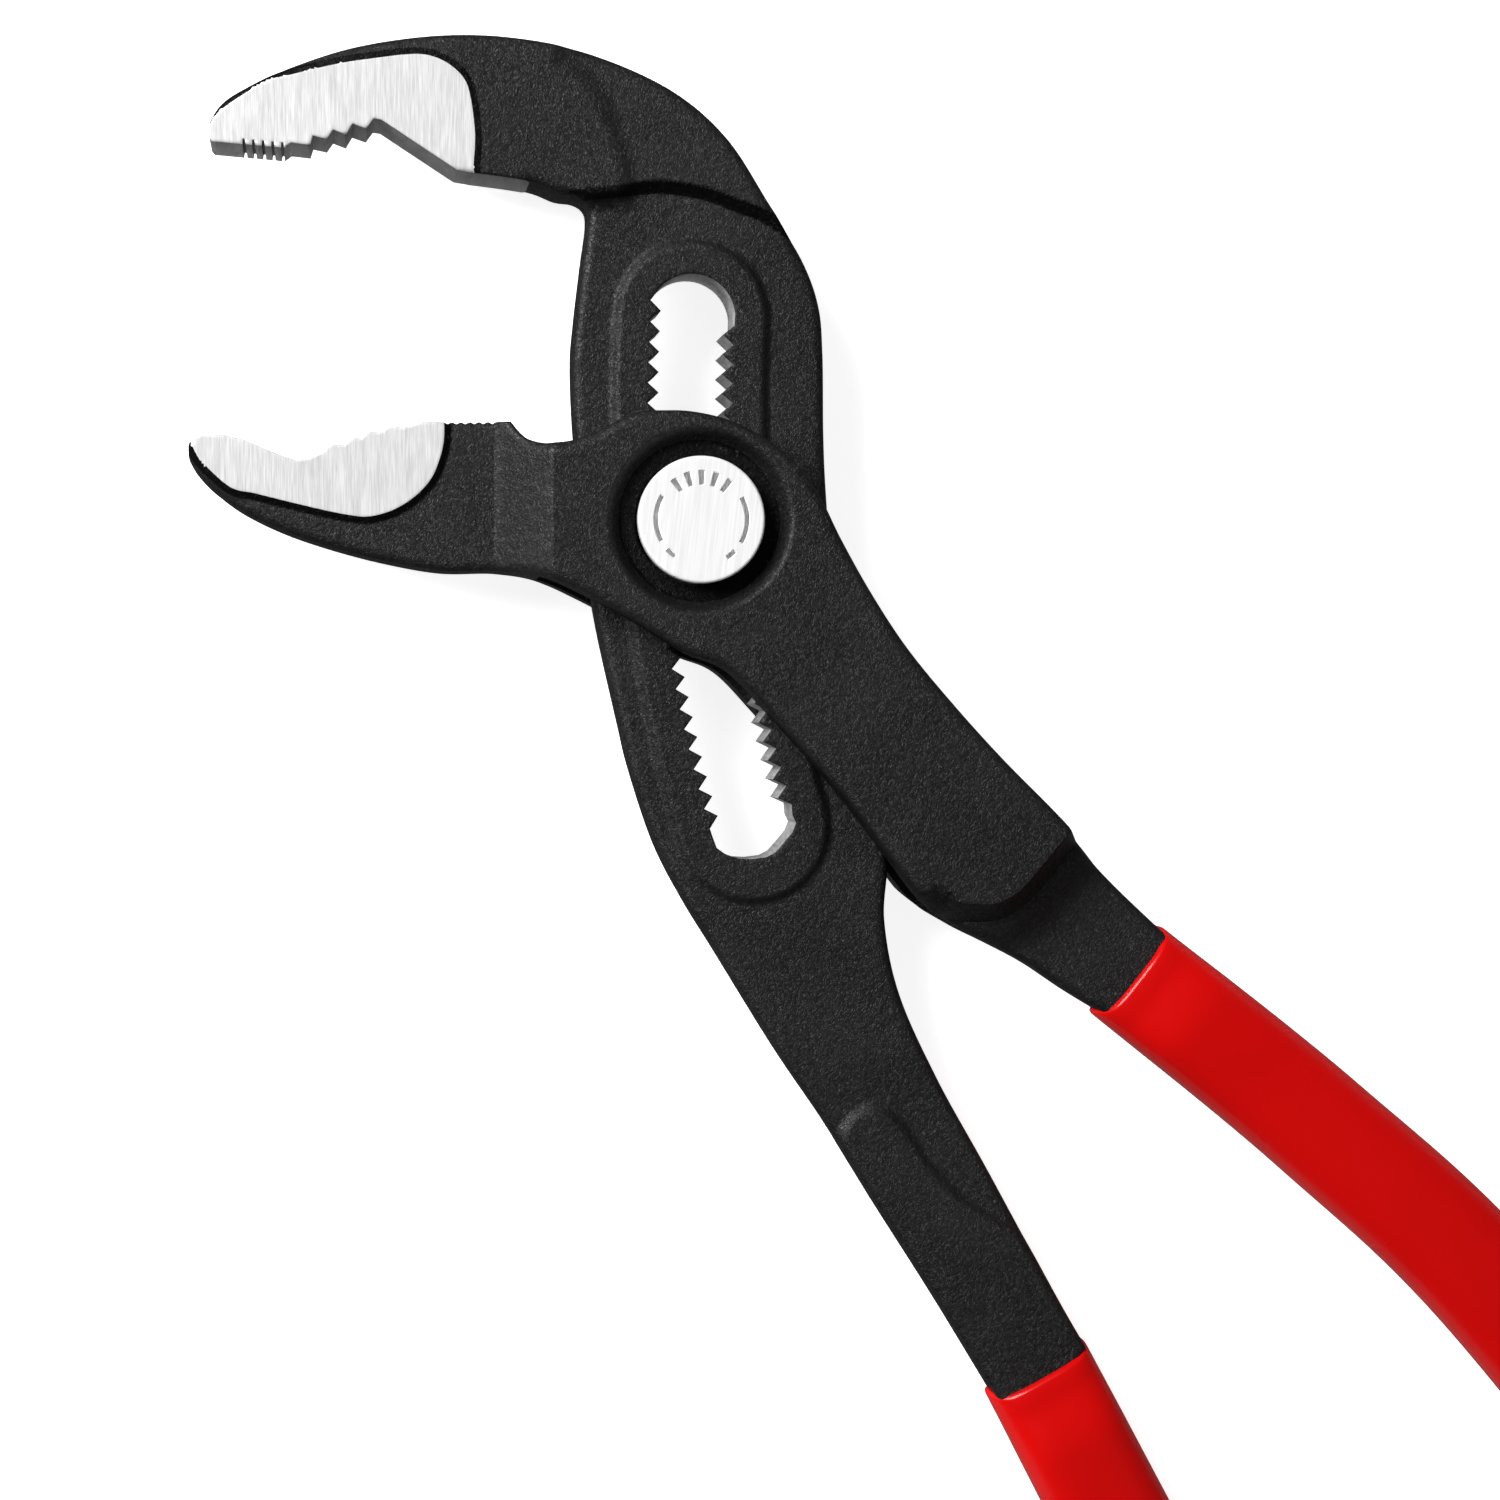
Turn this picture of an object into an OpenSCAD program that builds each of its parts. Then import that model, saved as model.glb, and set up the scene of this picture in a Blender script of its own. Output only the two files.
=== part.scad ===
// Tongue and groove pliers, 300 mm class, as separate pieces in one frame.
// Origin: the pivot axis, at the back face of the box joint. +X right, +Y to the jaws, +Z to the button.

/* [Slot] */
// Radius of the arc that the slot follows
slot_radius = 163.5; // [120:0.5:220]
// Direction from the pivot to the centre of that arc, in degrees
slot_bearing = 4.9; // [0:0.1:10]
// Angle between two grooves, seen from the arc's centre
groove_angle = 0.775; // [0.6:0.005:1.0]
// Grooves from the pivot to the closest setting
grooves_up = 9; // [4:1:9]
// Grooves from the pivot to the widest setting
grooves_down = 15; // [8:1:15]
// Half width of the slot at a groove
groove_half = 4.75; // [4.4:0.05:5.2]
// Half width of the slot at a tooth tip
tip_half = 3.5; // [3.4:0.05:4]

/* [Thickness] */
// Thickness of the box joint, over both cheeks
box_thick = 19; // [17:0.5:22]
// Thickness of each cheek of the box joint
cheek_thick = 5.6; // [5:0.1:6]
// Thickness of the ground gripping area of the jaws
jaw_ground = 10; // [9:0.2:12]
// Thickness of the jaws beside the ground area
jaw_thick = 8.8; // [8:0.2:9.8]
// Thickness of the slotted arm around its slot
land_thick = 7.5; // [7:0.1:7.7]
// Thickness of the slotted arm beside that land
neck_thick = 6.1; // [5:0.1:7]
// Thickness of the handle bars where they leave the grips
bar_thick = 6.8; // [6:0.1:7.5]

/* [Grips] */
// Half width of the grips at the rim
grip_half_width = 6.3; // [5.8:0.1:7]
// Half thickness of the grips along the middle
grip_half_thick = 5.6; // [4.8:0.1:6.5]

/* [Pivot] */
// Radius of the bolt's stem
stem_r = 3.2; // [3:0.05:3.3]
// Radius of the button
button_r = 6.95; // [6:0.05:7.2]
// Radius of the dished recess around the button
recess_r = 10.25; // [9:0.05:10.5]
// Travel of the button
button_stroke = 3; // [2.7:0.1:3]
// Radial gap of the running fits
fit = 0.05; // [0.02:0.01:0.1]

/* [Hidden] */
$fn = 96;
mid = box_thick / 2;
arc_x = slot_radius * cos(slot_bearing);
arc_y = slot_radius * sin(slot_bearing);
cheek_top = box_thick - cheek_thick;
far = 80;
steel = [0.16, 0.16, 0.17];
bright = [0.8, 0.8, 0.82];
red = [0.75, 0.04, 0.03];

// ---- curves -------------------------------------------------------------
function blend(a, b, c, d, t) = 0.5 * (2 * b + (c - a) * t + (2 * a - 5 * b + 4 * c - d) * t * t
    + (3 * b - a - 3 * c + d) * t * t * t);
function curve(p, n) = [for (i = [0 : len(p) - 2], k = [0 : n - 1])
    blend(p[max(i - 1, 0)], p[i], p[i + 1], p[min(i + 2, len(p) - 1)], k / n)];
function closed_curve(p, n) = concat(curve(p, n), [p[len(p) - 1]]);
function flip(p) = [for (i = [len(p) - 1 : -1 : 0]) p[i]];
// A row of n small teeth from a to b, each cut in by the vector d.
function teeth(a, b, n, d) = [for (i = [0 : n - 1], k = [0 : 1])
    a + (b - a) * (i + k * 0.5) / n + d * k];
// A point of the slot, g grooves along it from the pivot and w out from its centre line.
function on_slot(g, w) = [
    arc_x + (slot_radius + w) * cos(180 + slot_bearing + g * groove_angle),
    arc_y + (slot_radius + w) * sin(180 + slot_bearing + g * groove_angle)];
// Half width of the slot at g: a straight-sided tooth between every two grooves.
function rack_half(g) = groove_half - (groove_half - tip_half) * (1 - 2 * abs(abs(g) % 1 - 0.5));
module slab(low, high) {
    translate([0, 0, low])
        linear_extrude(high - low)
            children();
}
module layer(thick) {
    slab(mid - thick / 2, mid + thick / 2)
        children();
}
module tube(r, hole, low, high) {
    difference() {
        translate([0, 0, low])
            cylinder(r = r, h = high - low);
        translate([0, 0, low - 1])
            cylinder(r = hole, h = high - low + 2);
    }
}

// ---- slotted arm --------------------------------------------------------
arm_back = [[-53.2, 41.4], [-53.2, 42.8], [-51.9, 45.1], [-49.5, 46.8], [-44.2, 49.4], [-37, 51.8],
    [-28.1, 53.2], [-19.8, 53.1], [-11.4, 51.5], [-2.7, 47.8], [3.5, 42.6], [8.3, 35.3], [12, 29.5],
    [13.9, 24.4], [14.4, 18.9], [14.5, 10], [14.8, 3.2], [15.7, -8], [17.8, -20], [20.4, -30],
    [21.7, -37.4], [21.4, -44.3], [23.1, -52.6], [27.4, -62.1], [33.2, -72.5], [41, -86.8], [44.2, -92.3]];
arm_front = [[-24.5, 38.1], [-18.4, 37.3], [-15.3, 36.2], [-13.3, 35.9], [-12.2, 35], [-11.9, 33.2],
    [-12.5, 28.7], [-13.3, 22], [-13.6, 17.6], [-13.3, 10], [-12.3, 0], [-11, -10.1], [-8.4, -22],
    [-7, -27.7], [-4.3, -35.7], [-1.1, -41.9], [2.6, -47.9], [9.2, -58.6], [15, -67.2], [20.7, -76.4],
    [27.5, -87.1], [34.3, -98.3]];
upper_bite = concat([[-26.4, 38.4], [-34.6, 43.7], [-35.4, 43.8], [-36.2, 42.7], [-37.7, 43.2],
    [-38.4, 42], [-39.8, 42.5], [-40.5, 41.5], [-42, 41.8], [-42.3, 40.8], [-44.4, 41.1]],
    teeth([-44.6, 40.3], [-49.5, 40.7], 6, [0, 0.3]), [[-49.5, 40.7], [-52.9, 41]]);

module arm_outline() {
    polygon(concat(closed_curve(arm_back, 4), flip(closed_curve(arm_front, 4)), upper_bite));
}
// Everything of the arm on the jaw side of the step between head and neck.
module head_zone() {
    polygon(concat([[-70, 70], [40, 70], [40, 33]],
        curve([[14, 30], [8.2, 33.6], [2.1, 35.8], [-4, 36.6], [-10, 35.8], [-13, 34.4]], 5),
        [[-24, 30], [-70, 30]]));
}
module upper_ground() {
    polygon(concat([[-60, 30], [-60, 60], [-50, 60], [-46, 48.2]],
        curve([[-44.7, 48.3], [-39.2, 49.7], [-32.3, 50.8], [-28.4, 50.5], [-26.2, 49], [-24.9, 46.4],
            [-24.4, 42], [-24.6, 38]], 4), [[-24.6, 30]]));
}
// The half circle that closes a band of the slot's shape at groove g, starting from the angle t0.
function cap(g, half, t0) = let (a = 180 + slot_bearing + g * groove_angle)
    [for (t = [t0 + 15 : 15 : t0 + 165]) on_slot(g, 0) + half * [cos(a + t), sin(a + t)]];
slot_top = -10.3;
slot_end = 15.5;
module slot_band(half) {
    steps = [for (i = [0 : 30]) slot_top + (slot_end - slot_top) * i / 30];
    polygon(concat([for (g = steps) on_slot(g, half)], cap(slot_end, half, 0),
        [for (g = flip(steps)) on_slot(g, -half)], cap(slot_top, half, 180)));
}
// The rack on one side of the slot, from groove a to groove b.
function rack(a, b, out) = [for (i = [2 * a : 2 * b]) on_slot(i / 2, out * rack_half(i / 2))];
module slot_opening() {
    top = cap(slot_top, groove_half + 0.05, 180);
    polygon(concat(rack(-11, 15, 1), [on_slot(slot_end, groove_half)], cap(slot_end, groove_half, 0),
        [on_slot(slot_end, -groove_half)], flip(rack(-10, 15, -1)), [for (i = [0 : len(top) - 3]) top[i]]));
}
module handle_nose() {
    polygon(concat([[20.7, -65.9], [17.2, -68.1], [18.3, -71.5], [35.6, -98.6], [60, -92], [46, -84]],
        flip(curve([[22.9, -67.6], [25.8, -72.1], [29.7, -76.1], [35.4, -79.6], [46, -84]], 3))));
}
arm_grip_path = closed_curve([[39.3, -95.7], [62.8, -139.9], [88, -183.3], [111, -219.5]], 6);
pivot_grip_path = closed_curve([[50.1, -50.7], [72, -68.3], [93.6, -88.6], [125, -128], [153, -170]], 5);

function along(p, i) = let (d = p[min(i + 1, len(p) - 1)] - p[max(i - 1, 0)]) d / norm(d);
function side(p, i) = let (d = along(p, i)) [-d[1], d[0]];
core_half = 5.3;
core_thick = 5.8;
module core(path) {
    n = len(path) - 3;
    layer(core_thick)
        polygon(concat([path[0] - along(path, 0) * 3 + side(path, 0) * core_half],
            [for (i = [1 : n]) path[i] + side(path, i) * core_half],
            [for (i = [n : -1 : 1]) path[i] - side(path, i) * core_half],
            [path[0] - along(path, 0) * 3 - side(path, 0) * core_half]));
}

module slotted_arm() {
    color(steel)
        difference() {
            union() {
                layer(neck_thick)
                    arm_outline();
                layer(jaw_thick)
                    intersection() {
                        arm_outline();
                        head_zone();
                    }
                layer(jaw_ground)
                    intersection() {
                        arm_outline();
                        upper_ground();
                    }
                layer(land_thick)
                    intersection() {
                        arm_outline();
                        slot_band(8.4);
                    }
                layer(bar_thick)
                    intersection() {
                        arm_outline();
                        handle_nose();
                    }
                core(arm_grip_path);
            }
            layer(far)
                slot_opening();
        }
}

// ---- pivot arm ----------------------------------------------------------
box_back = [[-20.5, 10.9], [-19, 9.1], [-17.2, 8.4], [-15.9, 8.4], [-13.8, 8.7], [-11, 9.8],
    [-7.1, 11.7], [-3.7, 12], [-0.8, 11.9], [2.6, 11.2], [5.5, 10], [8.2, 8.3], [10.8, 6.1], [13.2, 2.8],
    [15.6, -2], [19, -8], [23, -14], [28, -20], [33.5, -26], [40, -32.5], [47, -40], [53.8, -46.4]];
box_front = [[46.4, -54.9], [42.3, -52.4], [37.8, -49.4], [33.5, -47.1], [29.2, -44.9], [25.2, -42.2],
    [21, -36.9], [15.2, -29.4], [8, -21.3], [3.2, -16.4], [-1.5, -14.4], [-6.9, -11.1], [-12.5, -8.1],
    [-17.2, -6.1], [-22.2, -5.5], [-28.1, -5.5], [-34.5, -4.4], [-40.6, -2.8], [-45.5, -1.1],
    [-49.6, 0.9], [-52.4, 2.9], [-54.2, 4.6], [-55.4, 6.4], [-55.5, 8]];
lower_bite = concat([[-55, 9.2], [-51.7, 9.2], [-49.6, 8.7], [-47.2, 7.7], [-45.2, 6.9], [-43.8, 6.5],
    [-42.4, 6.8], [-41, 7.5], [-40.3, 8.3], [-38.6, 8.2], [-38, 9.1], [-36.8, 8.9], [-36.2, 9.7],
    [-34.8, 9.6], [-33.9, 10.3], [-32, 10.2], [-30.3, 10.8], [-27.9, 10.8]],
    teeth([-27.9, 10.8], [-22, 10.9], 6, [0, -0.3]), [[-22, 10.9]]);

module pivot_outline() {
    polygon(concat(lower_bite, closed_curve(box_back, 3), closed_curve(box_front, 3)));
}
module lower_ground() {
    polygon(concat([[-60, 20], [-60, 5], [-54.1, 6]],
        curve([[-54.1, 6], [-51, 3.2], [-44.1, 1.6], [-37.9, 0.4], [-34.5, 0.4], [-31, 2.4],
            [-28.8, 5.4], [-27.8, 9.1], [-27.8, 11]], 3), [[-27.8, 20]]));
}
// Side profile of the box: thickness against the distance along a direction, as a prism across it.
module profile(points, turn) {
    rotate(turn)
        translate([0, far, mid])
            rotate([90, 0, 0])
                linear_extrude(2 * far)
                    polygon(concat(points, [for (p = flip(points)) [p[0], -p[1]]]));
}
// The passage of the slotted arm through the box, at every setting of both joints.
window = [[-15.4, 30], [-15, 14], [-14.6, 8], [-14.1, 3], [-14.9, 0], [-16.9, -5], [-21, -16], [-26, -40],
    [31, -60], [33.6, -50], [32.6, -48], [30.8, -44], [28.6, -40], [26.2, -35], [24.1, -30], [22.2, -25],
    [19.7, -16], [17.6, -8], [16.8, -5], [16.6, -1], [22, 6], [30, 12], [30, 30]];

module pivot_arm() {
    color(steel)
        difference() {
            union() {
                intersection() {
                    slab(0, box_thick)
                        pivot_outline();
                    profile([[-70, jaw_thick / 2], [-22, jaw_thick / 2], [-16, mid], [70, mid]], 0);
                    profile([[-70, mid], [48, mid], [57, bar_thick / 2], [100, bar_thick / 2]], -53);
                }
                layer(jaw_ground)
                    intersection() {
                        pivot_outline();
                        lower_ground();
                    }
                core(pivot_grip_path);
            }
            slab(cheek_thick, cheek_top)
                intersection() {
                    polygon(window);
                    rotate(-53)
                        square([104, 200], center = true);
                }
            layer(neck_thick + 0.3)
                polygon(window);
            translate([0, 0, 16.8])
                cylinder(r = recess_r, h = 10);
            translate([0, 0, 14.9])
                cylinder(r = button_r + 0.15, h = 10);
            translate([0, 0, 10])
                cylinder(r = 4.5 + fit, h = 10);
            translate([0, 0, 2.6])
                cylinder(r = 5.9, h = 7);
            translate([0, 0, -1])
                cylinder(r = 2.5 + fit, h = 10);
            translate([0, 0, -1])
                cylinder(r = 4.3, h = 2.2);
        }
}

// ---- dipped grips -------------------------------------------------------
ring_n = 24;
function corner(v) = sign(v) * pow(abs(v), 0.62);
// One section of a grip: [distance share along the path, half width, half thickness].
function ring(c, n, w, h) = [for (k = [0 : ring_n - 1])
    let (x = corner(cos(360 * k / ring_n)) * w)
    [c[0] + n[0] * x, c[1] + n[1] * x, mid + corner(sin(360 * k / ring_n)) * h]];

module grip(path, tail_half) {
    last = len(path) - 1;
    sizes = [for (i = [0 : last]) [grip_half_width + (tail_half - grip_half_width) * i / last, grip_half_thick]];
    ends = [[0.75, 0.96], [1.9, 0.8], [2.9, 0.5], [3.3, 0.2]];
    tip = [for (e = ends) ring(path[last] + along(path, last) * e[0], side(path, last),
        sizes[last][0] * e[1], grip_half_thick * e[1])];
    body = [for (i = [0 : last]) ring(path[i], side(path, i), sizes[i][0], i == 0 ? 4.3 : grip_half_thick)];
    rings = concat(body, tip);
    points = [for (r = rings, p = r) p];
    count = len(rings);
    quads = [for (i = [0 : count - 2], k = [0 : ring_n - 1]) let (j = (k + 1) % ring_n)
        [i * ring_n + k, (i + 1) * ring_n + k, (i + 1) * ring_n + j, i * ring_n + j]];
    difference() {
        polyhedron(points = points, faces = concat(
            [[for (k = [0 : ring_n - 1]) k]],
            [for (q = quads) [q[0], q[1], q[2]]],
            [for (q = quads) [q[0], q[2], q[3]]],
            [[for (k = [ring_n - 1 : -1 : 0]) (count - 1) * ring_n + k]]));
        core(path);
    }
}
module slotted_arm_grip() {
    color(red)
        grip(arm_grip_path, 7.4);
}
module pivot_arm_grip() {
    color(red)
        grip(pivot_grip_path, 7.6);
}

// ---- pivot set ----------------------------------------------------------
flange_low = mid - land_thick / 2;
flange_high = flange_low + 2.6;
stem_top = 18;
module tooth_block() {
    steps = [-1.25, -1, -0.5, 0, 0.5, 1, 1.25];
    polygon(concat([for (g = steps) on_slot(g, rack_half(g) - 0.2)],
        [for (g = flip(steps)) on_slot(g, 0.2 - rack_half(g))]));
}
module hinge_bolt() {
    color(bright)
        difference() {
            union() {
                translate([0, 0, 0.15])
                    cylinder(r = 2.5, h = flange_low);
                slab(flange_low, flange_high)
                    tooth_block();
                translate([0, 0, flange_low])
                    cylinder(r = stem_r, h = stem_top - flange_low);
                translate([0, 0, stem_top - 1])
                    cylinder(r = 2, h = 2.4);
            }
            tube(4, 2.1, 0.35, 0.95);
        }
}
module push_button() {
    color(bright)
        difference() {
            translate([0, 0, stem_top])
                cylinder(r = button_r, h = 2);
            tube(6.3, stem_r, stem_top - 1, stem_top + 1);
            translate([0, 0, stem_top - 1])
                cylinder(r = 2, h = 2.4);
        }
}
module button_spring() {
    turns = 3;
    color(bright)
        for (i = [0 : turns - 1])
            tube(5.8 - i * 0.6, 5.1 - i * 0.6, 15.2 + i * 1.265, 15.2 + (i + 1) * 1.265);
}
module front_bush() {
    color(bright)
        difference() {
            union() {
                translate([0, 0, 13.45])
                    cylinder(r = 4.5, h = 1.75);
                translate([0, 0, 14.95])
                    cylinder(r = 5.9, h = 0.25);
            }
            translate([0, 0, 10])
                cylinder(r = stem_r + fit, h = 10);
        }
}
module retaining_ring() {
    color(bright)
        difference() {
            tube(3.9, 2.1, 0.35, 0.95);
            translate([0, -1.4, 0])
                cube([10, 2.8, 2]);
        }
}

slotted_arm();
pivot_arm();
slotted_arm_grip();
pivot_arm_grip();
hinge_bolt();
push_button();
button_spring();
front_bush();
retaining_ring();
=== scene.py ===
"""Tongue and groove pliers: two forged arms, dipped grips and the push-button pivot, in a plain studio."""

import logging
import math
from dataclasses import dataclass, field
from enum import Enum
from typing import Sequence

import bmesh
import bpy
import numpy as np
from mathutils import Matrix, Vector
from mathutils.geometry import delaunay_2d_cdt


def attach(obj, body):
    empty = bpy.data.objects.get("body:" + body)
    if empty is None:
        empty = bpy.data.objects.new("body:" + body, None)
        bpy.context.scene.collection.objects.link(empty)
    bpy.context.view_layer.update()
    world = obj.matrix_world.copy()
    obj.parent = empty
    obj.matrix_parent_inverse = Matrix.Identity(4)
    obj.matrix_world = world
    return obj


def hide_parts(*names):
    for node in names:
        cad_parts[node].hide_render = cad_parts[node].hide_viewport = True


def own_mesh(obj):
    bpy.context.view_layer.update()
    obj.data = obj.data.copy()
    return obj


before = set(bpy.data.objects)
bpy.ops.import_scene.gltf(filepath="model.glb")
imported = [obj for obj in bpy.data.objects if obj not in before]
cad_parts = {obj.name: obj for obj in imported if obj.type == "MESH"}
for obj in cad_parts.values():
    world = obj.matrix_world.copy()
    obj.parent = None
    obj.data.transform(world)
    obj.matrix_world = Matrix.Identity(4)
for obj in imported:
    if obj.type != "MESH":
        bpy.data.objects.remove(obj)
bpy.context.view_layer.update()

LOG = logging.getLogger("pliers")
MM = 0.001
MID = 9.5  # height of the middle plane of both arms in mm
SAME = 0.03  # points nearer than this in mm are one point
BATCH = 2000  # points handled at a time
CELL = 1.2  # side of the sieve's cells in mm, more than the widest gap asked of it
Line = Sequence[Sequence[float]]
Colour = tuple[float, float, float]
Socket = bpy.types.NodeSocket


class Edge(Enum):
    """What an outline edge is like, with its rounding radius in mm and the material of its wall."""

    FORGED = (1.0, 5)
    TIGHT = (0.45, 5)
    GROUND = (0.12, 2)
    SLOT = (0.16, 3)
    BARE = (0.3, 2)

    @property
    def radius(self) -> float:
        """Rounding radius in mm."""
        return self.value[0]

    @property
    def finish(self) -> int:
        """Index of the wall's material on a forging."""
        return self.value[1]


class Side(Enum):
    """The two broad faces of a forging."""

    FRONT = 1
    BACK = -1


# ---- curves ---------------------------------------------------------------
def spline(points: Line, step: float = 0.6) -> np.ndarray:
    """A smooth curve through points.

    Args:
        points: the points it passes, in mm.
        step: the longest distance between two of its samples.

    Returns:
        The samples, ends included.
    """
    p = np.asarray(points, float)
    q = np.vstack([p[:1], p, p[-1:]])
    out: list[np.ndarray] = []
    for i in range(len(p) - 1):
        a, b, c, d = q[i : i + 4]
        count = max(2, math.ceil(float(np.linalg.norm(c - b)) / step))
        for t in np.arange(count) / count:
            bend, twist = 2 * a - 5 * b + 4 * c - d, 3 * b - a - 3 * c + d
            out.append(0.5 * (2 * b + (c - a) * t + bend * t**2 + twist * t**3))
    return np.array([*out, p[-1]])


def straight(points: Line, step: float = 0.6) -> np.ndarray:
    """The polyline through points with its corners kept, sampled no further apart than step."""
    p = np.asarray(points, float)
    out: list[np.ndarray] = []
    for a, b in zip(p[:-1], p[1:]):
        count = max(1, math.ceil(float(np.linalg.norm(b - a)) / step))
        out += [a + (b - a) * k / count for k in range(count)]
    return np.array([*out, p[-1]])


def circle(radius: float, step: float = 0.5) -> np.ndarray:
    """A closed ring of points about the pivot, without the repeated last point."""
    count = max(24, math.ceil(2 * math.pi * radius / step))
    turn = np.arange(count) * 2 * math.pi / count
    return radius * np.column_stack([np.cos(turn), np.sin(turn)])


def unit(v: np.ndarray) -> np.ndarray:
    """The rows of v at length one."""
    return v / np.maximum(np.linalg.norm(v, axis=-1, keepdims=True), 1e-9)


def heading(line: np.ndarray) -> np.ndarray:
    """The direction of an open line at each of its points."""
    return unit(np.gradient(line, axis=0))


def left_of(along: np.ndarray) -> np.ndarray:
    """The directions a quarter turn to the left of along."""
    return np.column_stack([-along[:, 1], along[:, 0]])


def beside(line: np.ndarray, by: float) -> np.ndarray:
    """An open line moved sideways to its left by that many mm."""
    return line + left_of(heading(line)) * by


def bar_run(path: Line, core: float) -> np.ndarray:
    """The outline of a bar inside its grip, core mm either side of path, down and back up."""
    line = spline(path, 3.0)
    inner, out = line[1:-2], left_of(heading(line))[1:-2] * core
    return straight([*(inner + out), *(inner - out)[::-1]], 2.0)


def area_of(loop: np.ndarray) -> float:
    """Signed area of a closed loop, positive where it runs anticlockwise."""
    n = np.roll(loop, -1, axis=0)
    return float(np.sum(loop[:, 0] * n[:, 1] - n[:, 0] * loop[:, 1]) / 2)


def distance(p: np.ndarray, a: np.ndarray, b: np.ndarray) -> np.ndarray:
    """The distance from each point p to the nearest of the segments from a to b."""
    out = np.empty(len(p))
    along = b - a
    size = np.maximum((along**2).sum(1), 1e-12)
    for start in range(0, len(p), BATCH):
        q = p[start : start + BATCH, None, :]
        t = np.clip(((q - a) * along).sum(2) / size, 0, 1)
        out[start : start + BATCH] = np.sqrt((((a + along * t[..., None]) - q) ** 2).sum(2).min(1))
    return out


def inside(p: np.ndarray, loops: Sequence[np.ndarray]) -> np.ndarray:
    """Whether each point lies inside the region that the loops bound, holes taken away."""
    odd = np.zeros(len(p), bool)
    for loop in loops:
        a, b = loop, np.roll(loop, -1, axis=0)
        for start in range(0, len(p), BATCH):
            some = slice(start, start + BATCH)
            x, y = p[some, 0:1], p[some, 1:2]
            cross = (a[:, 1] > y) != (b[:, 1] > y)
            rise = np.where(b[:, 1] == a[:, 1], 1e-12, b[:, 1] - a[:, 1])
            where = a[:, 0] + (y - a[:, 1]) * (b[:, 0] - a[:, 0]) / rise
            odd[some] ^= (cross & (x < where)).sum(1) % 2 == 1
    return odd


def smooth(t: np.ndarray) -> np.ndarray:
    """A soft step of t from 0 to 1."""
    t = np.clip(t, 0, 1)
    return t * t * (3 - 2 * t)


# ---- relief meshes --------------------------------------------------------
@dataclass
class Loop:
    """A closed outline, with the kind of edge that starts at each of its points."""

    points: np.ndarray
    kinds: list[Edge]

    @classmethod
    def of(cls, runs: Sequence[tuple[np.ndarray, Edge]]) -> "Loop":
        """Joins runs of points end to end.

        Args:
            runs: each run's samples and its kind of edge.

        Returns:
            The closed loop, without double points.
        """
        points: list[np.ndarray] = []
        kinds: list[Edge] = []
        for samples, kind in runs:
            for p in samples:
                if points and np.linalg.norm(points[-1] - p) < SAME:
                    kinds[-1] = kind
                    continue
                points.append(np.asarray(p, float))
                kinds.append(kind)
        if np.linalg.norm(points[0] - points[-1]) < SAME:
            points.pop()
            kinds.pop()
        return cls(np.array(points), kinds)

    def inward(self, hole: bool) -> np.ndarray:
        """The direction into the metal at each point, for an outline or for a hole."""
        ahead, behind = np.roll(self.points, -1, axis=0), np.roll(self.points, 1, axis=0)
        along = unit(unit(ahead - self.points) + unit(self.points - behind))
        return left_of(along) * (1 if (area_of(self.points) > 0) != hole else -1)


@dataclass
class Zone:
    """An area that stands at a level of its own, reached over a ramp outside its border.

    Args:
        border: the closed border, in mm.
        level: height over the middle plane.
        ramp: width of the slope outside the border.
        soft: whether the slope eases in and out.
        ground: whether the area is ground flat, over the rounded edges and in bare metal.
        side: the one face that has the zone, or None for both.
        finish: index of the area's material, where it isn't the skin's.
        shade_brink: index of the painted shade material on the slope, where it isn't the skin's.
    """

    border: np.ndarray
    level: float
    ramp: float
    soft: bool = True
    ground: bool = False
    side: Side | None = None
    finish: int = 0
    shade_brink: int = 0

    def share(self, p: np.ndarray) -> np.ndarray:
        """How far each point is up the ramp, from 0 outside to 1 inside the border."""
        away = distance(p, self.border, np.roll(self.border, -1, axis=0))
        t = np.clip(1 - np.where(inside(p, [self.border]), 0, away) / self.ramp, 0, 1)
        return smooth(t) if self.soft else t

    def rows(self) -> list[np.ndarray]:
        """Rows of sample points along the border and down the ramp."""
        ring = Loop(self.border, [])
        out = -ring.inward(False)
        steps = (0.0, 0.2, 0.4, 0.6, 0.8, 1.0) if self.ramp > 1 else (0.0, 0.5, 1.0)
        return [self.border + out * self.ramp * s for s in steps] + [
            self.border - out * 0.22, self.border + out * (self.ramp + 0.22)]


class Sieve:
    """Collects points and turns away those that come too close to one already held."""

    def __init__(self) -> None:
        """Starts with no points."""
        self.points: list[tuple[float, float]] = []
        self.cells: dict[tuple[int, int], list[int]] = {}

    def add(self, p: Sequence[float], gap: float) -> int | None:
        """Holds p and returns its number, or returns None where one is nearer than gap."""
        x, y = float(p[0]), float(p[1])
        i, j = int(x // CELL), int(y // CELL)
        for u in (i - 1, i, i + 1):
            for v in (j - 1, j, j + 1):
                for k in self.cells.get((u, v), ()):
                    if (self.points[k][0] - x) ** 2 + (self.points[k][1] - y) ** 2 < gap * gap:
                        return None
        self.points.append((x, y))
        self.cells.setdefault((i, j), []).append(len(self.points) - 1)
        return len(self.points) - 1


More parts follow.
